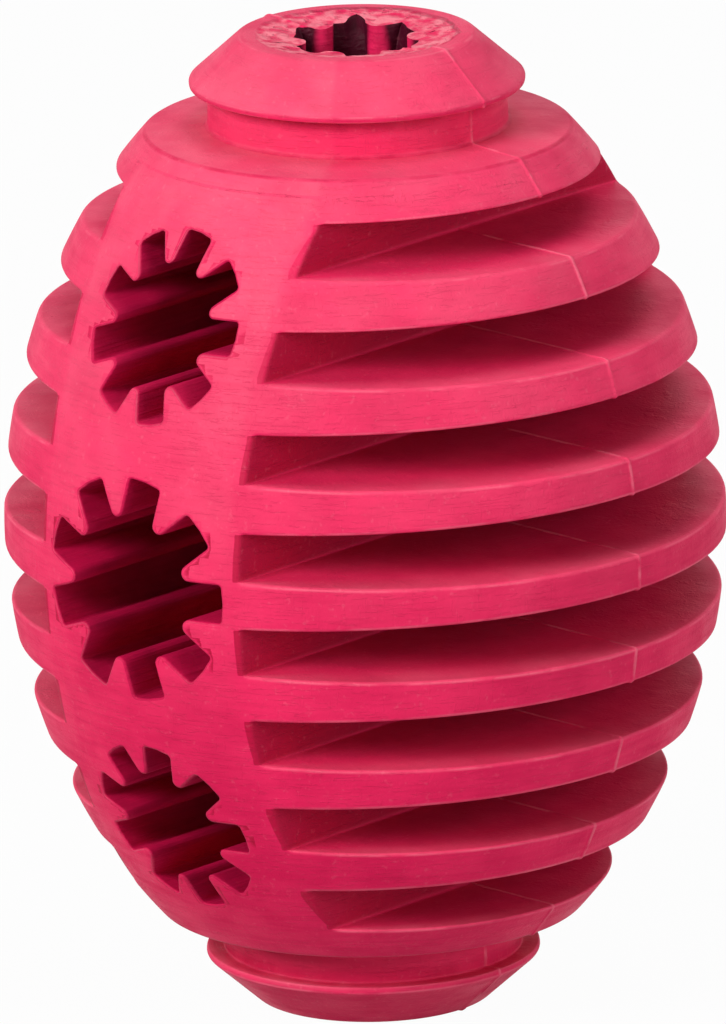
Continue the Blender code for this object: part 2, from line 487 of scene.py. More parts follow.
def ribbed_tree(numbers):
    """The tree that repeats the groove's sheet, adds both ends and bends all of it round.

    Numbers are the names of its number inputs.
    """
    tree = bpy.data.node_groups.new("Ribbed half", "GeometryNodeTree")
    face = tree.interface
    face.new_socket("Geometry", in_out="INPUT", socket_type="NodeSocketGeometry")
    face.new_socket("End sheet", in_out="INPUT", socket_type="NodeSocketObject")
    face.new_socket("Grooves", in_out="INPUT", socket_type="NodeSocketInt")
    for label in numbers:
        face.new_socket(label, in_out="INPUT", socket_type="NodeSocketFloat")
    face.new_socket("Material", in_out="INPUT", socket_type="NodeSocketMaterial")
    face.new_socket("Torn material", in_out="INPUT", socket_type="NodeSocketMaterial")
    face.new_socket("Geometry", in_out="OUTPUT", socket_type="NodeSocketGeometry")
    source = tree.nodes.new("NodeGroupInput")
    given = {label: Wire(tree, source.outputs[label]) for label in numbers}
    radius, length = given["Body radius"], given["Curve half length"]
    power, pitch = given["Curve power"], given["Groove pitch"]
    gap_height, slope = given["Groove height"] * 0.5, given["Draft slope"]
    edge, floor_round = given["Edge rounding"], given["Floor rounding"]
    wall = given["Band half width"]

    def superellipse(level, width):
        share = 1.0 - (level / length).math("ABSOLUTE") ** power
        return width * share.math("MAXIMUM", 0.0) ** (1.0 / power)

    # One sheet for each groove, and one for each end
    grooves = Wire(tree, source.outputs["Grooves"])
    first = (grooves - 1.0) * pitch * -0.5
    line = node_of(tree, "GeometryNodeMeshLine", Count=grooves)
    number = Wire(tree, tree.nodes.new("GeometryNodeInputIndex").outputs[0])
    marked = node_of(tree, "GeometryNodeStoreNamedAttribute", {"data_type": "FLOAT"},
                     Geometry=line.outputs[0], Name="groove_level", Value=first + number * pitch)
    copies = node_of(tree, "GeometryNodeInstanceOnPoints", Points=marked.outputs[0],
                     Instance=source.outputs["Geometry"])
    end = node_of(tree, "GeometryNodeObjectInfo", Object=source.outputs["End sheet"])
    marked_end = node_of(tree, "GeometryNodeStoreNamedAttribute", {"data_type": "FLOAT"},
                         Geometry=end.outputs["Geometry"], Name="groove_level", Value=first * -1.0)
    real = node_of(tree, "GeometryNodeRealizeInstances", Geometry=copies.outputs[0])
    both = tree.nodes.new("GeometryNodeJoinGeometry")
    for part in (marked_end, real):
        tree.links.new(part.outputs[0], both.inputs[0])

    # What each point carries
    level = attribute(tree, "groove_level")
    turn, hand = attribute(tree, "turn"), attribute(tree, "hand")
    at_edge, at_inner, from_floor = split(tree, attribute(tree, "depth", "FLOAT_VECTOR"))
    on_gap, on_lift, on_drop = split(tree, attribute(tree, "lift", "FLOAT_VECTOR"))
    side, to_rib, even = split(tree, attribute(tree, "place", "FLOAT_VECTOR"))
    is_turned, turned_radius, turned_level = split(
        tree, attribute(tree, "turned", "FLOAT_VECTOR"))
    reach = pitch * 0.5

    # The column's angle from the seam: the grooves end at a fixed distance from the band's middle
    in_groove = 1.0 - to_rib
    rough_level = level + side * (on_gap * gap_height * 1.15 + on_lift * edge + to_rib * reach)
    rough_radius = superellipse(rough_level, radius)
    band_start = wall - BAND_START
    band_x = (band_start * (2.0 - turn)).math("MINIMUM", band_start)
    groove_end = (band_start / rough_radius).math("ARCCOSINE")
    band_angle = (band_x / rough_radius).math("ARCCOSINE")
    on_band = turn.math("GREATER_THAN", 1.0)
    angle = (turn * groove_end).mix(band_angle, on_band)
    cosine = angle.math("COSINE").math("MAXIMUM", 0.0)

    # The groove's edge, its flat inner wall and the level of the point
    edge_gap = gap_height + slope * (rough_radius * cosine - wall).math("MAXIMUM", 0.0)
    surface_level = level + side * (in_groove * edge_gap + on_lift * edge + to_rib * reach)
    even_level = level + side * even * reach
    spread = ((turn - 1.0) * 10.0).math("MINIMUM", 1.0).math("MAXIMUM", 0.0)
    inner_wall = wall / cosine.math("MAXIMUM", 0.02)

    def cut_depth(near_level):
        room = superellipse(near_level, radius) - inner_wall
        return room.math("SMOOTH_MAX", 0.0, END_WALL_ROUND)

    edge_depth = cut_depth(level + side * edge_gap)
    edge_part = edge.math("MINIMUM", edge_depth * 0.5)
    round_part = floor_round.math("MINIMUM", edge_depth * 0.5)
    inner_level = level + side * (on_gap * gap_height - on_drop * floor_round)
    inner_radius = (superellipse(inner_level, radius) - cut_depth(inner_level)
                    + from_floor * round_part)
    outer_radius = superellipse(surface_level, radius) - at_edge * edge_part
    place_radius = outer_radius.mix(inner_radius, at_inner)
    point_gap = gap_height + slope * (place_radius * cosine - wall).math("MAXIMUM", 0.0)
    point_level = level + side * (on_gap * point_gap + on_lift * edge - on_drop * floor_round
                                  + to_rib * reach)
    point_level = point_level.mix(even_level, spread)
    place_radius = place_radius.mix(superellipse(point_level, radius), on_band)
    place_radius = place_radius.mix(turned_radius, is_turned)
    point_level = point_level.mix(turned_level, is_turned)
    facing = given["Facing"]
    x = hand * place_radius * cosine * facing
    y = place_radius * angle.math("SINE") * facing * -1.0

    # The torn face dips towards its hole, deepest at the front, and is rough
    flat = node_of(tree, "ShaderNodeCombineXYZ", X=x, Y=y)
    tears = node_of(tree, "ShaderNodeTexNoise", Vector=flat.outputs[0], Scale=TORN_SCALE,
                    Detail=3.0)
    inward = given["Torn radius"] - turned_radius
    torn = (inward / TORN_EDGE).math("MAXIMUM", 0.0).math("MINIMUM", 1.0) * is_turned
    dip = (inward / (given["Torn radius"] - given["Hole radius"])).math("MINIMUM", 1.0)
    forward = (x * math.sin(CAMERA_TURN) - y * math.cos(CAMERA_TURN)) / given["Torn radius"]
    dip = dip * (1.0 + forward * TORN_TILT)
    point_level = point_level - torn * (dip * given["Torn dip"]
                                        + Wire(tree, tears.outputs[0]) * TORN_ROUGHNESS)
    place = node_of(tree, "ShaderNodeCombineXYZ", X=x, Y=y, Z=point_level)
    bent = node_of(tree, "GeometryNodeSetPosition", Geometry=both.outputs[0],
                   Position=place.outputs[0])

    # The lower end is the upper one mirrored
    upper = node_of(tree, "GeometryNodeSeparateGeometry", {"domain": "POINT"},
                    Geometry=bent.outputs[0],
                    Selection=is_turned.math("GREATER_THAN", 0.5))
    mirrored = node_of(tree, "GeometryNodeTransform", Geometry=upper.outputs["Selection"],
                       Scale=(1.0, 1.0, -1.0))
    flipped = node_of(tree, "GeometryNodeFlipFaces", Mesh=mirrored.outputs[0])
    whole = tree.nodes.new("GeometryNodeJoinGeometry")
    for part in (flipped, bent):
        tree.links.new(part.outputs[0], whole.inputs[0])
    welded = node_of(tree, "GeometryNodeMergeByDistance", Geometry=whole.outputs[0],
                     Distance=WELD_DISTANCE)

    # The seam's flash: a fine, uneven ridge along the normal
    position = Wire(tree, tree.nodes.new("GeometryNodeInputPosition").outputs[0])
    _px, py, _pz = split(tree, position)
    normal = Wire(tree, tree.nodes.new("GeometryNodeInputNormal").outputs[0])
    nx, _ny, nz = split(tree, normal)
    near = (1.0 - py.math("ABSOLUTE") / given["Flash width"]).math("MAXIMUM", 0.0)
    waver = node_of(tree, "ShaderNodeTexNoise", Vector=position, Scale=FLASH_SCALE, Detail=2.0)
    uneven = Wire(tree, waver.outputs[0]) * 1.6 + 0.2
    nub = 1.0 + attribute(tree, "wear_and_highlight") * FLASH_NUB
    rise = near.math("SMOOTH_MIN", 0.7, 0.3) * uneven * nub * given["Flash height"]
    offset = node_of(tree, "ShaderNodeCombineXYZ", X=nx * rise, Z=nz * rise)
    ridged = node_of(tree, "GeometryNodeSetPosition", Geometry=welded.outputs[0],
                     Offset=offset.outputs[0])
    up = node_of(tree, "ShaderNodeCombineXYZ", Z=given["Middle level"])
    raised = node_of(tree, "GeometryNodeTransform", Geometry=ridged.outputs[0],
                     Translation=up.outputs[0])
    real_all = node_of(tree, "GeometryNodeRealizeInstances", Geometry=raised.outputs[0])
    coated = node_of(tree, "GeometryNodeSetMaterial", Geometry=real_all.outputs[0],
                     Material=source.outputs["Material"])
    on_torn = is_turned * (turned_radius - given["Torn radius"] - TORN_EDGE * 2).math(
        "LESS_THAN", 0.0)
    torn_coat = node_of(tree, "GeometryNodeSetMaterial", Geometry=coated.outputs[0],
                        Selection=on_torn, Material=source.outputs["Torn material"])
    result = tree.nodes.new("NodeGroupOutput")
    tree.links.new(torn_coat.outputs[0], result.inputs[0])
    return tree


# The toothed holes

FLARE_STEPS = 4
FLARE_END = math.radians(70)
FLARE_RUN = 0.0002
TIP_STEPS = 8
SLOT_CORNER = 0.0004
OUTLINE_STEP = 0.0006
END_OUTLINE_STEP = 0.0003
CUTTER_MARGIN = 0.004

# The ragged mouths of the end hole: (depth, share of the raggedness) from outside inward
RAGGED = 0.00030
RAGGED_SCALE = 700.0
RAGGED_DEPTH_SHARE = 0.4
RAGGED_RINGS = ((-CUTTER_MARGIN, 1.0), (-0.0004, 1.0), (0.0003, 1.0), (0.0008, 0.85),
                (0.0014, 0.6), (0.0022, 0.3), (0.0034, 0.0), (0.0060, 0.0), (0.0100, 0.0))

# Tears in the upper mouth as (way, reach, spread, power) seen by the camera, with 90 degrees
# pointing away from it, and the two nicks beside it as (across, away, half length, half width,
# turn)
TEARS = ((90, 0.0026, 9, 0.7), (144, 0.0012, 17, 1.0), (52, 0.0013, 15, 1.0),
         (222, 0.0008, 14, 1.0), (314, 0.0012, 16, 1.0))
NICKS = ((-0.0086, -0.0018, 0.00125, 0.00016, 0.0), (0.0084, 0.0016, 0.0006, 0.00014, 0.5))
NICK_DEPTH = 0.0022

# Depths past the rounded mouth where the walls of the side holes have rows of points
WALL_DEPTHS = (0.00135, 0.00405, 0.009)


def toothed_outline(hole, teeth, turn, step_length=OUTLINE_STEP):
    """Outline of a toothed hole, turning left, as points of (across, up, normal).

    Hole is its radius, its slots' width and the rounding of the teeth's tips.
    """
    radius, slot_width, tip_round = hole
    pitch = 2 * math.pi / teeth
    half_width = slot_width / 2
    half_slot = math.asin(half_width / radius)
    tip_centre = (half_width + tip_round) / math.sin(pitch / 2)
    sweep = (math.pi - pitch) / 2
    wall = radius * math.cos(half_slot) - tip_centre * math.cos(pitch / 2)
    corner = min(SLOT_CORNER, wall * 0.8)
    corners = []
    for i in range(teeth):
        slot = turn + i * pitch
        for angle, size in ((slot - half_slot, corner), (slot, 0), (slot + half_slot, corner)):
            corners.append((radius * math.cos(angle), radius * math.sin(angle), size, 0))
        tooth = slot + pitch / 2
        for step in range(TIP_STEPS + 1):
            angle = tooth + math.pi + sweep * (1 - 2 * step / TIP_STEPS)
            corners.append((tip_centre * math.cos(tooth) + tip_round * math.cos(angle),
                            tip_centre * math.sin(tooth) + tip_round * math.sin(angle), 0, 0))
    start = (*corners[0][:2], 0, 0)
    closed = rounded(corners[-1:] + corners + [start])[1:-1]
    points = filled(closed + closed[:1], step_length)[:-1]
    result = []
    for i, (across, up, _worn) in enumerate(points):
        before, after = points[i - 1], points[(i + 1) % len(points)]
        da, du = after[0] - before[0], after[1] - before[1]
        size = math.hypot(da, du)
        result.append((across, up, du / size, -da / size))
    return result


def flare(mouth_round):
    """(outward offset, depth under the surface) from outside the mouth to the straight wall."""
    edge = (mouth_round * (1 - math.cos(FLARE_END)), mouth_round * (1 - math.sin(FLARE_END)))
    run = (edge[0] + FLARE_RUN * math.sin(FLARE_END), edge[1] - FLARE_RUN * math.cos(FLARE_END))
    angles = [FLARE_END * (1 - i / FLARE_STEPS) for i in range(FLARE_STEPS + 1)]
    return [run] + [(mouth_round * (1 - math.cos(a)), mouth_round * (1 - math.sin(a)))
                    for a in angles]


def cutter_object(name, bm, material):
    bmesh.ops.recalc_face_normals(bm, faces=bm.faces)
    mesh = bpy.data.meshes.new(name)
    bm.to_mesh(mesh)
    bm.free()
    mesh.materials.append(material)
    mesh.shade_smooth()
    cutter = new_object(name, mesh)
    cutter.hide_render = True
    cutter.display_type = "WIRE"
    return cutter


def bridge_rings(bm, rings, wear_and_highlight=None):
    """Closed skin over rings with the same number of points, capped at both ends.

    The wear_and_highlight argument is a share for each ring: how worn its edge is and how much it
    is lightened as a painted highlight.
    """
    layer = bm.verts.layers.float.get("wear_and_highlight") or bm.verts.layers.float.new("wear_and_highlight")
    made = [[bm.verts.new(point) for point in ring] for ring in rings]
    for ring, wear in zip(made, wear_and_highlight or [0.0] * len(made)):
        for vert in ring:
            vert[layer] = wear
    for near, far in zip(made, made[1:]):
        for i in range(len(near)):
            j = (i + 1) % len(near)
            bm.faces.new((near[i], near[j], far[j], far[i]))
    bm.faces.new(made[0])
    bm.faces.new(list(reversed(made[-1])))


def side_hole_cutter(sizes, material):
    """The three toothed holes through the band, with mouths rounded along the surface."""
    bm = bmesh.new()
    reach = sizes.body_diameter / 2 + CUTTER_MARGIN
    stations = flare(sizes.mouth_round)
    spacing = sizes.small_hole_level
    holes = ((spacing, sizes.small_hole), (0.0, sizes.middle_hole), (-spacing, sizes.small_hole))
    for level, hole in holes:
        outline = toothed_outline(hole, sizes.hole_teeth, math.pi / 2 - sizes.hole_turn)

        def ring(offset, depth, side):
            points = []
            for across, up, out_x, out_z in outline:
                x = across + out_x * offset
                z = level + up + out_z * offset
                if depth is None:
                    y = reach
                else:
                    y = math.sqrt(outline_radius(sizes, z) ** 2 - x * x) - depth
                points.append((x, side * y, z + MIDDLE_LEVEL))
            return points

        inner = [(0.0, sizes.mouth_round + depth) for depth in WALL_DEPTHS]
        rings = [ring(stations[0][0], None, -1)]
        rings += [ring(offset, depth, -1) for offset, depth in stations + inner]
        rings += [ring(offset, depth, 1) for offset, depth in reversed(stations + inner)]
        rings.append(ring(stations[0][0], None, 1))
        wear_and_highlight = [1.0] * len(stations) + [0.0] * (len(inner) + 1)
        bridge_rings(bm, rings, wear_and_highlight + wear_and_highlight[::-1])
    return cutter_object("side_hole_cutter", bm, material)


def ragged_ring(outline, depth, share, side, level):
    """The end hole's outline at one depth, ragged near its mouth and torn at the upper one."""
    ring = []
    for x, y, nx, ny in outline:
        seed = Vector((x, y, side * max(depth, 0.0) * RAGGED_DEPTH_SHARE)) * RAGGED_SCALE
        offset = noise.noise(seed) * RAGGED * share
        seen_way = math.degrees(math.atan2(y, x) - CAMERA_TURN)
        pull = 0.0
        for way, reach, spread, power in TEARS if side > 0 else ():
            away = abs((seen_way - way + 180) % 360 - 180)
            if away < spread:
                pull += reach * share * (1 - away / spread) ** power
        length = math.hypot(x, y)
        ring.append((x + nx * offset + x / length * pull, y + ny * offset + y / length * pull,
                     level))
    return ring


def add_nick(bm, across, away, half_length, half_width, turn):
    """A short slit in the upper end face."""
    right = Vector((math.cos(CAMERA_TURN), math.sin(CAMERA_TURN), 0))
    back = Vector((-right.y, right.x, 0))
    centre = right * across + back * away
    along = right * math.cos(turn) + back * math.sin(turn)
    aside = back * math.cos(turn) - right * math.sin(turn)
    corners = [along * half_length, aside * half_width, along * -half_length, aside * -half_width]
    rings = [[centre + corner * share + Vector((0, 0, level)) for corner in corners]
             for share, level in ((1.0, HALF_HIGH.z + CUTTER_MARGIN), (1.0, HALF_HIGH.z),
                                  (0.5, HALF_HIGH.z - NICK_DEPTH))]
    bridge_rings(bm, rings)


def end_hole_cutter(sizes, material):
    """The toothed hole along the axis, with ragged mouths."""
    bm = bmesh.new()
    half = sizes.height / 2
    outline = toothed_outline(sizes.end_hole, sizes.end_teeth, sizes.end_turn, END_OUTLINE_STEP)
    stations = [(-1, depth, share) for depth, share in RAGGED_RINGS]
    stations += [(1, depth, share) for depth, share in reversed(RAGGED_RINGS)]
    rings = [ragged_ring(outline, depth, share, side, MIDDLE_LEVEL + side * (half - depth))
             for side, depth, share in stations]
    bridge_rings(bm, rings)
    for nick in NICKS:
        add_nick(bm, *nick)
    return cutter_object("end_hole_cutter", bm, material)


# Materials

GRAIN_DISTANCE = 0.00012
TORN_GRAIN_DISTANCE = 0.00022
SEAM_WIDTH = 0.00034
RUBBER_SPECULAR = 0.12
RUBBER_ROUGHNESS = 0.58

# How much painted sheen lies on faces that look up, and how much more on the band: a pale tint
# standing in for the lamps' soft highlight
SHEEN = 0.34
BAND_SHEEN = 0.16

# How far the torn face's colour wanders over its edge, and how far inside and past it it fades
TORN_WANDER = 0.0012
TORN_FADE = (0.0006, 0.0002)

# Widths of the painted shade at the neck's foot, the shoulder's rim and under the collar, how far
# it lies from the corner, and how strong it is: dark lines standing in for the shade in these
# creases and for the collar's shadow on the neck
NECK_SHADE_WIDTH = 0.00045
RIM_SHADE_WIDTH = 0.0004
COLLAR_SHADE_WIDTH = 0.0019
NECK_SHADE_OFFSET = 0.0001
SHADE_DROP = 0.0002
CREASE_SHADE = 0.75

# Levels from the middle between which the end hole's look fades in, and depths from its slots'
# ends between which their painted shade does
NEAR_END_LEVELS = (0.040, 0.046)
SLOT_DEPTHS = (-0.0012, -0.0004)


def object_place(tree):
    return Wire(tree, tree.nodes.new("ShaderNodeTexCoord").outputs["Object"])


def noise_of(tree, scale, detail=2.0, stretch=None):
    """Noise on Object coordinates. A stretch multiplies the coordinates."""
    place = object_place(tree)
    if stretch:
        place = node_of(tree, "ShaderNodeVectorMath", {"operation": "MULTIPLY"})
        feed(tree, place.inputs[0], object_place(tree))
        feed(tree, place.inputs[1], stretch)
        place = place.outputs[0]
    made = node_of(tree, "ShaderNodeTexNoise", Vector=place, Scale=scale, Detail=detail)
    return Wire(tree, made.outputs[0])


def eased(wire, low, high):
    """0 below low, 1 above high and a smooth step between."""
    step = node_of(wire.tree, "ShaderNodeMapRange", {"interpolation_type": "SMOOTHSTEP"},
                   Value=wire, From_Min=low, From_Max=high)
    return Wire(wire.tree, step.outputs[0])


def tinted(tree, first, second, share):
    """Mix of two colours."""
    mix = node_of(tree, "ShaderNodeMix", {"data_type": "RGBA"})
    for slot, value in ((0, share), (6, first), (7, second)):
        feed(tree, mix.inputs[slot], value)
    return Wire(tree, mix.outputs[2])


def shared_group(name, inputs, outputs, rule):
    """A shader node group. The rule takes the tree and its inputs and gives its outputs."""
    known = bpy.data.node_groups.get(name)
    if known:
        return known
    tree = bpy.data.node_groups.new(name, "ShaderNodeTree")
    for label, kind in inputs:
        tree.interface.new_socket(label, in_out="INPUT", socket_type="NodeSocket" + kind)
    for label, kind in outputs:
        tree.interface.new_socket(label, in_out="OUTPUT", socket_type="NodeSocket" + kind)
    source = tree.nodes.new("NodeGroupInput")
    sink = tree.nodes.new("NodeGroupOutput")
    given = {label: Wire(tree, source.outputs[label]) for label, _kind in inputs}
    for label, wire in rule(tree, given).items():
        feed(tree, sink.inputs[label], wire)
    return tree


def placed(tree, group, **values):
    """Place a shared group in a material with its own values."""
    node = tree.nodes.new("ShaderNodeGroup")
    node.node_tree = group
    for label, value in values.items():
        feed(tree, node.inputs[label.replace("_", " ")], value)
    return {output.name: Wire(tree, output) for output in node.outputs}


def mottled_rubber():
    """Colour and roughness of moulded rubber, patchy and finely streaked."""

    def rule(tree, given):
        patches = eased(noise_of(tree, 42.0, 3.0), 0.36, 0.68)
        cloud = eased(noise_of(tree, 210.0, 4.0), 0.35, 0.72)
        streaks = eased(noise_of(tree, 110.0, 4.0, (1.0, 1.0, 11.0)), 0.42, 0.66)
        specks = eased(noise_of(tree, 1500.0, 2.0), 0.60, 0.78)
        deep = (patches * 0.40 + cloud * 0.30 + streaks * 0.20) * given["Mottle"]
        colour = tinted(tree, given["Rubber"], given["Deep"], deep)
        pale = (given["Pale share"] + specks * 0.10 * given["Mottle"]).math("MINIMUM", 1.0)
        colour = tinted(tree, colour, given["Pale"], pale)
        rough = given["Roughness"] + (cloud - 0.5) * 0.10 + (streaks - 0.5) * 0.06
        return {"Color": colour, "Roughness": rough}

    inputs = (("Rubber", "Color"), ("Deep", "Color"), ("Pale", "Color"), ("Pale share", "Float"),
              ("Mottle", "Float"), ("Roughness", "Float"))
    outputs = (("Color", "Color"), ("Roughness", "Float"))
    return shared_group("Mottled rubber", inputs, outputs, rule)


def upward_sheen():
    """Mask of the painted sheen on faces that look up: a pale tint standing in for the soft
    highlight of light from above.
    """

    def rule(tree, given):
        normal = Wire(tree, tree.nodes.new("ShaderNodeNewGeometry").outputs["Normal"])
        up = eased(split(tree, normal)[2], -0.45, 0.9)
        broken = 0.55 + eased(noise_of(tree, 150.0, 4.0), 0.30, 0.75) * 0.45
        return {"Mask": up * broken * given["Amount"]}

    return shared_group("Upward bloom", (("Amount", "Float"),), (("Mask", "Float"),), rule)


def moulded_grain():
    """Height of the fine grain, the soft waves and the scuffs of the surface."""

    def rule(tree, given):
        fine = noise_of(tree, 2600.0, 3.0)
        soft = noise_of(tree, 620.0, 3.0)
        lines = eased(noise_of(tree, 330.0, 5.0, (1.0, 1.0, 13.0)), 0.57, 0.63)
        across = eased(noise_of(tree, 260.0, 4.0, (9.0, 9.0, 1.0)), 0.60, 0.66)
        height = (fine * given["Fine"] + soft * given["Soft"]
                  + (lines + across * 0.6) * given["Scuffs"])
        return {"Height": height}

    inputs = (("Fine", "Float"), ("Soft", "Float"), ("Scuffs", "Float"))
    return shared_group("Moulded grain", inputs, (("Height", "Float"),), rule)


def seam_line():
    """Mask of the flash line along the seam plane y = 0."""

    def rule(tree, given):
        wander = (noise_of(tree, 210.0, 3.0) - 0.5) * given["Width"] * 1.2
        away = (split(tree, object_place(tree))[1] + wander).math("ABSOLUTE")
        line = eased((1.0 - away / given["Width"]).math("MAXIMUM", 0.0), 0.0, 0.7)
        broken = eased(noise_of(tree, 230.0, 3.0), 0.40, 0.56)
        return {"Mask": line * broken}

    return shared_group("Seam line", (("Width", "Float"),), (("Mask", "Float"),), rule)


def coat(tree, mottled, height, strength, distance=GRAIN_DISTANCE):
    """Lead a mottled colour and a grain into the material's own shader."""
    shader = tree.nodes["Principled BSDF"]
    shader.inputs["Specular IOR Level"].default_value = RUBBER_SPECULAR
    feed(tree, shader.inputs["Base Color"], mottled["Color"])
    feed(tree, shader.inputs["Roughness"], mottled["Roughness"])
    bump = node_of(tree, "ShaderNodeBump", Strength=strength, Distance=distance, Height=height)
    feed(tree, shader.inputs["Normal"], bump.outputs[0])


def mesh_share(tree, name):
    """A share that the mesh's points carry."""
    read = tree.nodes.new("ShaderNodeAttribute")
    read.attribute_name = name
    return Wire(tree, read.outputs["Fac"])


def wear_and_highlight_mask(tree):
    """How worn the edges are and how much they are lightened as a painted highlight, as the mesh
    says, broken up by noise.
    """
    return mesh_share(tree, "wear_and_highlight") * (0.25 + eased(noise_of(tree, 170.0, 4.0), 0.36, 0.62))


def groove_depth(tree):
    """0 on the outside and on the band, and 1 at a groove's inner wall, as the mesh says."""
    read = tree.nodes.new("ShaderNodeAttribute")
    read.attribute_name = "depth"
    on_band = eased(mesh_share(tree, "turn"), 1.0, 1.02)
    return split(tree, Wire(tree, read.outputs["Vector"]))[1] * (1.0 - on_band)


def crease_shade_line():
    """Mask of the painted shade in a crease that runs round the toy, at a radius and at both
    levels.
    """

    def rule(tree, given):
        x, y, z = split(tree, object_place(tree))
        out = (x * x + y * y).math("SQRT") - given["Radius"]
        level = (z - MIDDLE_LEVEL).math("ABSOLUTE") - given["Level"]
        away = (out * out + level * level).math("SQRT") / given["Width"]
        line = eased(1.0 - away, 0.0, 0.7)
        return {"Mask": line * (0.45 + eased(noise_of(tree, 240.0, 3.0), 0.35, 0.65) * 0.55)}

    inputs = (("Radius", "Float"), ("Level", "Float"), ("Width", "Float"))
    return shared_group("Shadow line", inputs, (("Mask", "Float"),), rule)


def new_material(name):
    material = bpy.data.materials.new(name)
    material.use_nodes = True
    return material


def moulded_rubber(colours, sizes):
    """The outside: matt rubber with painted shade deep in the grooves and in the creases round the
    neck, a painted sheen on upward faces, worn edges lightened partly as a painted highlight, and a
    seam line.
    """
    material = new_material("moulded rubber")
    tree = material.node_tree
    depth = groove_depth(tree)
    normal = Wire(tree, tree.nodes.new("ShaderNodeNewGeometry").outputs["Normal"])
    # Painted shade: deep in the grooves, away from the upward rib tops that the light reaches, the
    # rubber takes the darker groove colour to stand in for the shade under the ribs
    upward = eased(split(tree, normal)[2], 0.05, 0.7)
    inside = eased(depth + (noise_of(tree, 160.0, 3.0) - 0.5) * 0.2, 0.02, 0.6)
    inside = inside * (1.0 - upward * 0.85)
    # Painted sheen: a pale tint on faces that look up, more on the band and less deep in the
    # grooves, stands in for the lamps' soft highlight
    outer = 1.0 - eased(depth, 0.02, 0.30) * 0.75
    band = eased(mesh_share(tree, "turn"), 1.0, 1.1)
    amount = SHEEN + band * BAND_SHEEN
    sheen = placed(tree, upward_sheen(), Amount=amount * outer)["Mask"]
    seam = placed(tree, seam_line(), Width=SEAM_WIDTH)["Mask"]
    # The rounded rims are lightened partly for wear and partly as a painted highlight
    pale = sheen.math("MAXIMUM", wear_and_highlight_mask(tree) * 0.45).math("MAXIMUM", seam * 0.6)
    level = shoulder_level(sizes)
    collar_foot = sizes.height / 2 - sizes.collar_height
    # Painted shade and shadow: dark lines at the neck's foot and the shoulder's rim, and a wider
    # band under the collar where its shadow falls on the neck
    foot = placed(tree, crease_shade_line(), Radius=sizes.neck_radius + NECK_SHADE_OFFSET,
                  Level=level + sizes.shoulder_fall, Width=NECK_SHADE_WIDTH)["Mask"]
    rim = placed(tree, crease_shade_line(), Radius=outline_radius(sizes, level),
                 Level=level - SHADE_DROP, Width=RIM_SHADE_WIDTH)["Mask"]
    under = placed(tree, crease_shade_line(), Radius=sizes.neck_radius,
                   Level=collar_foot - SHADE_DROP, Width=COLLAR_SHADE_WIDTH)["Mask"]
    crease_shade = foot.math("MAXIMUM", rim).math("MAXIMUM", under) * CREASE_SHADE
    rubber = tinted(tree, (*colours.rubber, 1), (*colours.groove, 1), inside.math("MAXIMUM", crease_shade))
    deep = tinted(tree, (*colours.deep, 1), (*colours.groove, 1), inside)
    mottled = placed(tree, mottled_rubber(), Rubber=rubber, Deep=deep, Pale=(*colours.sheen, 1),
                     Pale_share=pale * (1.0 - crease_shade), Mottle=1.5, Roughness=RUBBER_ROUGHNESS)
    grain = placed(tree, moulded_grain(), Fine=0.55, Soft=0.6, Scuffs=0.35)["Height"]
    coat(tree, mottled, grain, 0.7)
    return material


def bored_rubber(colours, sizes):
    """The walls of the toothed holes, scored along them, painted darker as shade inside the holes,
    with a near-black painted shade in the end hole's slots.
    """
    material = new_material("bored rubber")
    tree = material.node_tree
    x, y, z = split(tree, object_place(tree))
    near_end = eased((z - MIDDLE_LEVEL).math("ABSOLUTE"), *NEAR_END_LEVELS)
    axial = (x * x + y * y).math("SQRT") - sizes.end_hole[0]
    # Painted shade: the side holes' walls take the deep colour and patches of the darker bored
    # colour, and the end hole's slots go near-black, standing in for the shade inside the holes
    patchy = eased((noise_of(tree, 300.0, 3.0) - 0.5) * 0.2, 0.0, 0.75)
    slot_shade = near_end * eased(axial, *SLOT_DEPTHS)
    mouth = tinted(tree, (*colours.deep, 1), (*colours.rubber, 1), near_end)
    wall = tinted(tree, mouth, (*colours.bore_shade, 1), patchy)
    wall = tinted(tree, wall, (*colours.slot_shade, 1), slot_shade * (0.80 + near_end * 0.18))
    # The holes' rounded mouths are lightened partly for wear and partly as a painted highlight
    mottled = placed(tree, mottled_rubber(), Rubber=wall, Deep=(*colours.slot_shade, 1),
                     Pale=(*colours.sheen, 1), Pale_share=wear_and_highlight_mask(tree) * 0.35, Mottle=0.5,
                     Roughness=RUBBER_ROUGHNESS)
    grain = placed(tree, moulded_grain(), Fine=0.5, Soft=0.6, Scuffs=0.2)["Height"]
    scores = eased(noise_of(tree, 420.0, 3.0, (3.0, 0.06, 3.0)), 0.42, 0.66)
    coat(tree, mottled, grain + scores * 0.9, 0.5)
    return material


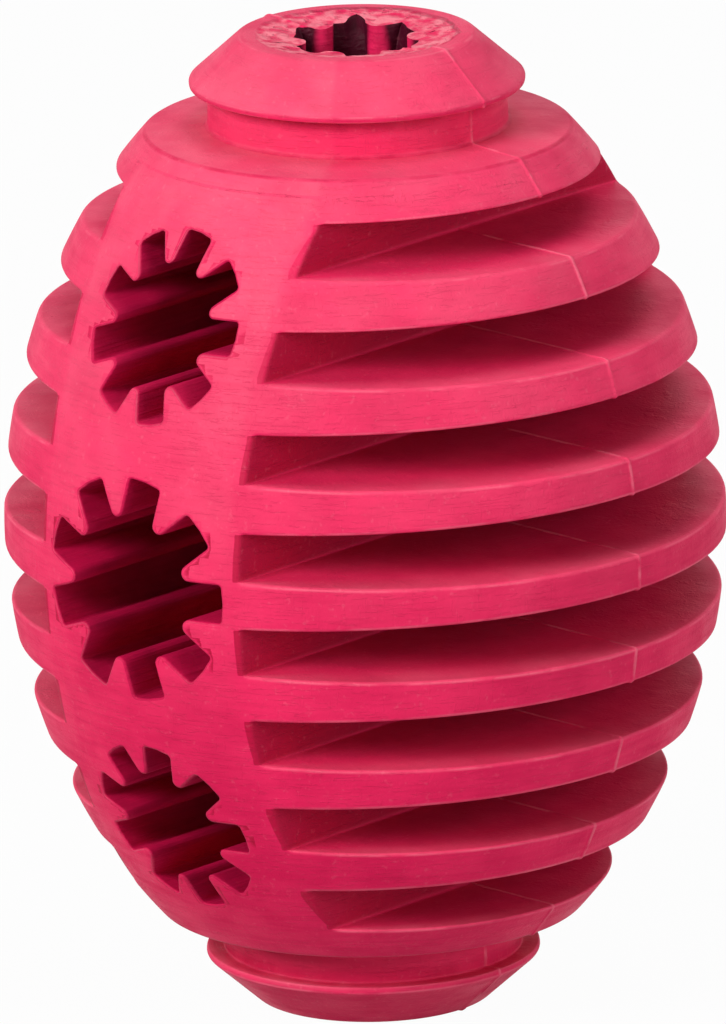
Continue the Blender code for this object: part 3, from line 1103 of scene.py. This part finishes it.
def torn_rubber(colours, sizes):
    """The faces at both ends, where the rubber was torn from its sprue."""
    material = new_material("torn rubber")
    tree = material.node_tree
    x, y, _z = split(tree, object_place(tree))
    radius = (x * x + y * y).math("SQRT")
    ragged = radius + (noise_of(tree, 340.0, 3.0) - 0.5) * TORN_WANDER
    torn = 1.0 - eased(ragged, sizes.torn_radius - TORN_FADE[0], sizes.torn_radius + TORN_FADE[1])
    flakes = node_of(tree, "ShaderNodeTexVoronoi", {"feature": "F1"}, Scale=380.0,
                     Vector=object_place(tree))
    flake = Wire(tree, flakes.outputs["Distance"])
    fibres = noise_of(tree, 700.0, 6.0)
    cracks = eased(noise_of(tree, 620.0, 4.0), 0.66, 0.58)
    # Painted sheen on the upward faces here too, standing in for the soft highlight
    sheen = placed(tree, upward_sheen(), Amount=SHEEN)["Mask"]
    seam = placed(tree, seam_line(), Width=SEAM_WIDTH)["Mask"] * (1.0 - torn)
    # Worn rims lightened partly for wear and partly as a painted highlight
    pale = sheen.math("MAXIMUM", wear_and_highlight_mask(tree) * 0.5).math("MAXIMUM", seam * 0.8)
    pale = pale.mix(eased(fibres, 0.36, 0.64) * (0.4 + cracks * 0.6), torn)
    mottled = placed(tree, mottled_rubber(), Rubber=(*colours.rubber, 1), Deep=(*colours.deep, 1),
                     Pale=tinted(tree, (*colours.sheen, 1), (*colours.torn, 1), torn),
                     Pale_share=pale, Mottle=1.0, Roughness=0.56)
    grain = placed(tree, moulded_grain(), Fine=0.55, Soft=0.5, Scuffs=0.35)["Height"]
    rough = (flake * 1.2 + fibres * 2.0 + cracks * 1.2) * torn
    coat(tree, mottled, grain + rough, 0.8, TORN_GRAIN_DISTANCE)
    return material


def toy_materials(colours, sizes):
    """The toy's materials, built once for both halves: outside, holes and torn ends."""
    makers = (("moulded rubber", lambda: moulded_rubber(colours, sizes)),
              ("bored rubber", lambda: bored_rubber(colours, sizes)),
              ("torn rubber", lambda: torn_rubber(colours, sizes)))
    return [bpy.data.materials.get(name) or make() for name, make in makers]


# Pieces

SHARP_ANGLE = math.radians(38)


def plain_mesh(obj):
    """The object's evaluated mesh, without its modifiers."""
    graph = bpy.context.evaluated_depsgraph_get()
    return bpy.data.meshes.new_from_object(obj.evaluated_get(graph), depsgraph=graph)


def new_object(name, mesh):
    obj = bpy.data.objects.new(name, mesh)
    bpy.context.collection.objects.link(obj)
    return obj


def close_seam(mesh):
    """Fill the flat face at the seam plane."""
    bm = bmesh.new()
    bm.from_mesh(mesh)
    for vert in bm.verts:
        if abs(vert.co.y) < SEAM_DISTANCE:
            vert.co.y = 0.0
    rim = [edge for edge in bm.edges if edge.is_boundary]
    bmesh.ops.contextual_create(bm, geom=rim)
    bmesh.ops.recalc_face_normals(bm, faces=bm.faces)
    bm.to_mesh(mesh)
    bm.free()


def build_half(name, node, facing):
    """One moulded half: ribbed by the tree, closed at the seam and cut by the toothed holes."""
    sizes = bpy.context.scene.toy_sizes
    outside, bored, torn = toy_materials(bpy.context.scene.toy_colours, sizes)
    ends = new_object("end_sheet", end_sheet(sizes))
    half = new_object(name, groove_sheet())
    modifier = half.modifiers.new("Ribbed half", "NODES")
    values = tree_values(sizes, facing)
    modifier.node_group = ribbed_tree(list(values))
    values.update({"Grooves": sizes.grooves, "End sheet": ends, "Material": outside,
                   "Torn material": torn})
    for item in modifier.node_group.interface.items_tree:
        if item.in_out == "INPUT" and item.name in values:
            modifier[item.identifier] = values[item.name]
    shell = plain_mesh(half)
    half.modifiers.clear()
    half.data = shell
    bpy.data.objects.remove(ends)
    close_seam(shell)
    shell.shade_smooth()
    cutters = (side_hole_cutter(sizes, bored), end_hole_cutter(sizes, bored))
    for cutter in cutters:
        cut = half.modifiers.new(cutter.name, "BOOLEAN")
        cut.operation = "DIFFERENCE"
        cut.solver = "EXACT"
        cut.material_mode = "TRANSFER"
        cut.object = cutter
    done = plain_mesh(half)
    half.modifiers.clear()
    half.data = done
    for cutter in cutters:
        bpy.data.objects.remove(cutter)
    done.set_sharp_from_angle(angle=SHARP_ANGLE)
    weigh = half.modifiers.new("Flat walls stay flat", "WEIGHTED_NORMAL")
    weigh.keep_sharp = True
    half.data = plain_mesh(half)
    half.modifiers.clear()
    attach(half, "root")
    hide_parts(node)
    return half


class TOY_OT_front_half(bpy.types.Operator):
    """Build the moulded half in front of the seam"""

    bl_idname = "toy.front_half"
    bl_label = "Front half"

    def execute(self, context):
        build_half("front_rubber", "front_half", 1.0)
        return {"FINISHED"}


class TOY_OT_rear_half(bpy.types.Operator):
    """Build the moulded half behind the seam"""

    bl_idname = "toy.rear_half"
    bl_label = "Rear half"

    def execute(self, context):
        build_half("rear_rubber", "rear_half", -1.0)
        return {"FINISHED"}


# Stage and camera

CAMERA_ROLL = math.radians(-1.09)
SKY_LEVEL = 0.25
FLOOR_WHITE = 0.97
CAMERA_DISTANCE = 2.464
CAMERA_LENS = 782.0
CENTRE_PIXEL = (365.3, 513.5)

# Each lamp's name, place, side and power, and the point that all of them face
LAMPS = (("key", (-0.10, -1.00, 0.62), 0.45, 13.2), ("side", (1.10, 0.0, 0.35), 0.6, 5.2),
         ("top", (0.1, 0.2, 1.2), 0.6, 4.4))
LAMP_AIM = (0, 0, 0.055)
FLOOR_REACH = 3.0
FLOOR_GAP = 0.0002


def add_camera():
    back = Vector((math.sin(CAMERA_TURN) * math.cos(CAMERA_RISE),
                   -math.cos(CAMERA_TURN) * math.cos(CAMERA_RISE), math.sin(CAMERA_RISE)))
    camera = bpy.data.cameras.new("camera")
    camera.lens = CAMERA_LENS
    camera.shift_x = -(CENTRE_PIXEL[0] - IMAGE_WIDTH / 2) / IMAGE_HEIGHT
    camera.shift_y = (CENTRE_PIXEL[1] - IMAGE_HEIGHT / 2) / IMAGE_HEIGHT
    obj = new_object("camera", camera)
    obj.location = Vector((0, 0, MIDDLE_LEVEL)) + back * CAMERA_DISTANCE
    turn = (-back).to_track_quat("-Z", "Y") @ Quaternion((0, 0, 1), CAMERA_ROLL)
    obj.rotation_mode = "QUATERNION"
    obj.rotation_quaternion = turn
    bpy.context.scene.camera = obj


def add_light(name, place, side, power):
    """A square lamp of soft white light, aimed at the toy's middle."""
    lamp = bpy.data.lights.new(name, "AREA")
    lamp.shape = "RECTANGLE"
    lamp.size = lamp.size_y = side
    lamp.energy = power
    obj = new_object(name, lamp)
    obj.location = place
    obj.rotation_mode = "QUATERNION"
    obj.rotation_quaternion = (Vector(LAMP_AIM) - Vector(place)).to_track_quat("-Z", "Y")


def seen_share(tree):
    """1 where the camera, a reflection or a see-through ray looks, 0 for light on the toy."""
    path = tree.nodes.new("ShaderNodeLightPath")
    seen = Wire(tree, path.outputs["Is Camera Ray"])
    for label in ("Is Glossy Ray", "Is Transmission Ray"):
        seen = seen.math("MAXIMUM", Wire(tree, path.outputs[label]))
    return seen


def add_world():
    """White all round, and a plain soft light from it on the toy."""
    world = bpy.data.worlds.new("studio")
    world.use_nodes = True
    tree = world.node_tree
    tree.nodes.clear()
    seen = node_of(tree, "ShaderNodeBackground", Color=(1, 1, 1, 1), Strength=1.0)
    lit = node_of(tree, "ShaderNodeBackground", Color=(1, 1, 1, 1), Strength=SKY_LEVEL)
    mix = tree.nodes.new("ShaderNodeMixShader")
    feed(tree, mix.inputs[0], seen_share(tree))
    tree.links.new(lit.outputs[0], mix.inputs[1])
    tree.links.new(seen.outputs[0], mix.inputs[2])
    out = tree.nodes.new("ShaderNodeOutputWorld")
    tree.links.new(mix.outputs[0], out.inputs[0])
    bpy.context.scene.world = world


def floor_material(colours):
    """A pale floor that looks white and keeps the toy's soft shadow."""
    material = new_material("floor")
    tree = material.node_tree
    shader = tree.nodes["Principled BSDF"]
    shader.inputs["Base Color"].default_value = (*colours.floor, 1)
    shader.inputs["Roughness"].default_value = 0.9
    white = node_of(tree, "ShaderNodeEmission", Color=(1, 1, 1, 1), Strength=1.0)
    mix = tree.nodes.new("ShaderNodeMixShader")
    feed(tree, mix.inputs[0], seen_share(tree) * FLOOR_WHITE)
    tree.links.new(shader.outputs[0], mix.inputs[1])
    tree.links.new(white.outputs[0], mix.inputs[2])
    tree.links.new(mix.outputs[0], tree.nodes["Material Output"].inputs[0])
    return material


class TOY_OT_stage(bpy.types.Operator):
    """Add the floor, the lamps, the sky and the camera"""

    bl_idname = "toy.stage"
    bl_label = "Stage"

    def execute(self, context):
        colours = context.scene.toy_colours
        bm = bmesh.new()
        bmesh.ops.create_grid(bm, x_segments=2, y_segments=2, size=FLOOR_REACH)
        mesh = bpy.data.meshes.new("floor")
        bm.to_mesh(mesh)
        bm.free()
        floor = new_object("floor", mesh)
        floor.location.z = HALF_LOW.z - FLOOR_GAP
        mesh.materials.append(floor_material(colours))
        add_world()
        for lamp in LAMPS:
            add_light(*lamp)
        add_camera()
        context.scene.view_settings.view_transform = "Standard"
        return {"FINISHED"}


class TOY_PT_panel(bpy.types.Panel):
    """Buttons that build the toy"""

    bl_label = "Chew toy"
    bl_idname = "TOY_PT_panel"
    bl_space_type = "VIEW_3D"
    bl_region_type = "UI"
    bl_category = "Chew Toy"

    def draw(self, context):
        for operator in OPERATORS:
            self.layout.operator(operator.bl_idname)
        for group in (context.scene.toy_sizes, context.scene.toy_colours):
            for key in group.__annotations__:
                self.layout.prop(group, key)


OPERATORS = (TOY_OT_front_half, TOY_OT_rear_half, TOY_OT_stage)
CLASSES = (ToySizes, ToyColours) + OPERATORS + (TOY_PT_panel,)


def register():
    for item in CLASSES:
        bpy.utils.register_class(item)
    bpy.types.Scene.toy_sizes = bpy.props.PointerProperty(type=ToySizes)
    bpy.types.Scene.toy_colours = bpy.props.PointerProperty(type=ToyColours)


def unregister():
    del bpy.types.Scene.toy_colours
    del bpy.types.Scene.toy_sizes
    for item in reversed(CLASSES):
        bpy.utils.unregister_class(item)


def main():
    register()
    bpy.ops.toy.front_half()
    bpy.ops.toy.rear_half()
    bpy.ops.toy.stage()


if __name__ == "__main__":
    main()
